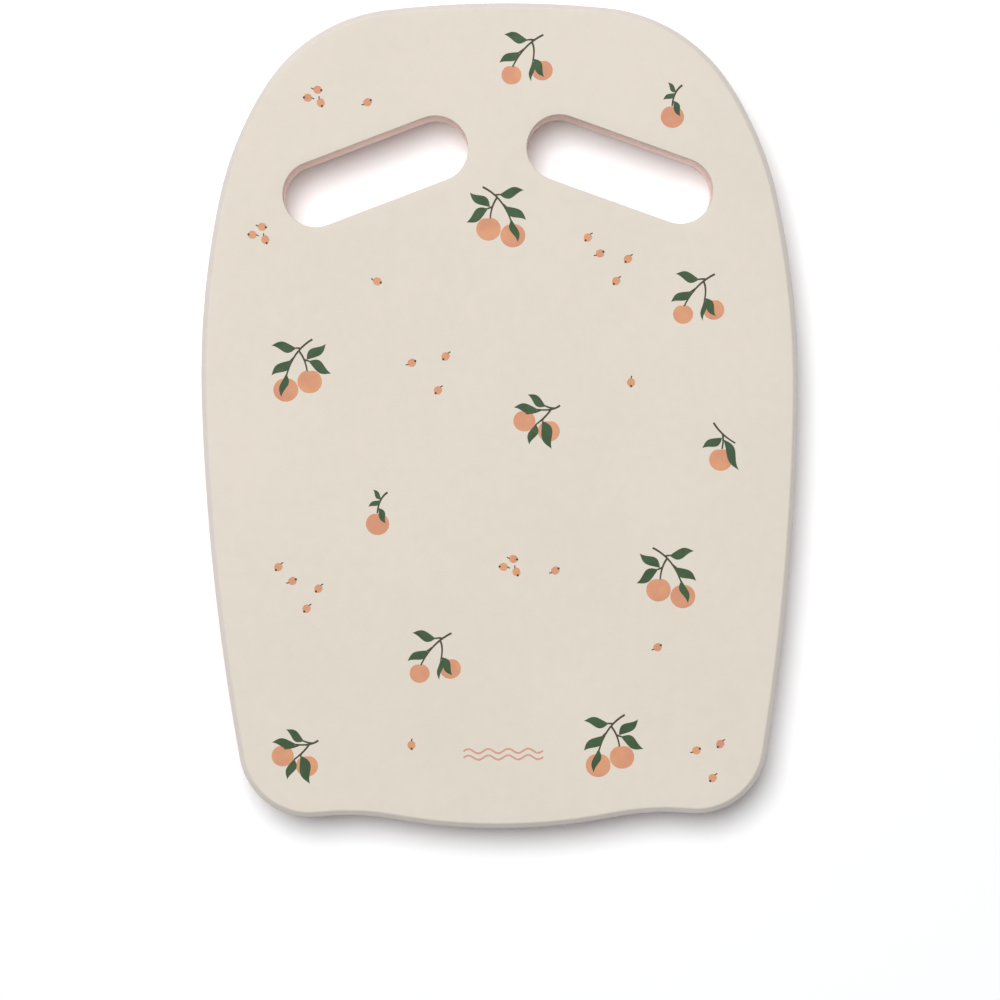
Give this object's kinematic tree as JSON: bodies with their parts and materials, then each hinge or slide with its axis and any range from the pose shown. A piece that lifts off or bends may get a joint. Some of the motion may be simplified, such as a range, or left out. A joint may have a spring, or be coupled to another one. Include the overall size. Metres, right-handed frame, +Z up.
{
  "type": "kickboard float",
  "caption": "Flat foam swimming kickboard with a rounded crown, slanted hand slots, softly chamfered rim and a small fruit-sprig print on the deck.",
  "frame": {"origin": "centre of the board's bounding box at its base face, the flat underside it rests on", "axes": "+Z up out of the printed deck, +Y along the centre line towards the rounded crown with the hand slots, +X towards the right hand of a swimmer holding the board with the deck up"},
  "size_m": [0.3, 0.415, 0.0301],
  "materials": {
    "cream_foam": "matte closed-cell EVA foam with a fine skin",
    "rose_foam": "matte cut closed-cell EVA foam",
    "pink_foam": "matte cut closed-cell EVA foam",
    "peach_ink": "matte printed ink",
    "green_ink": "matte printed ink",
    "brown_ink": "matte printed ink",
    "blush_ink": "matte printed ink"
  },
  "bodies": {
    "root": {"deck_sheet": "cream_foam", "middle_ply": "rose_foam", "base_ply": "pink_foam", "fruit_ink": "peach_ink", "leaf_ink": "green_ink", "twig_ink": "brown_ink", "mark_ink": "blush_ink"}
  },
  "joints": []
}
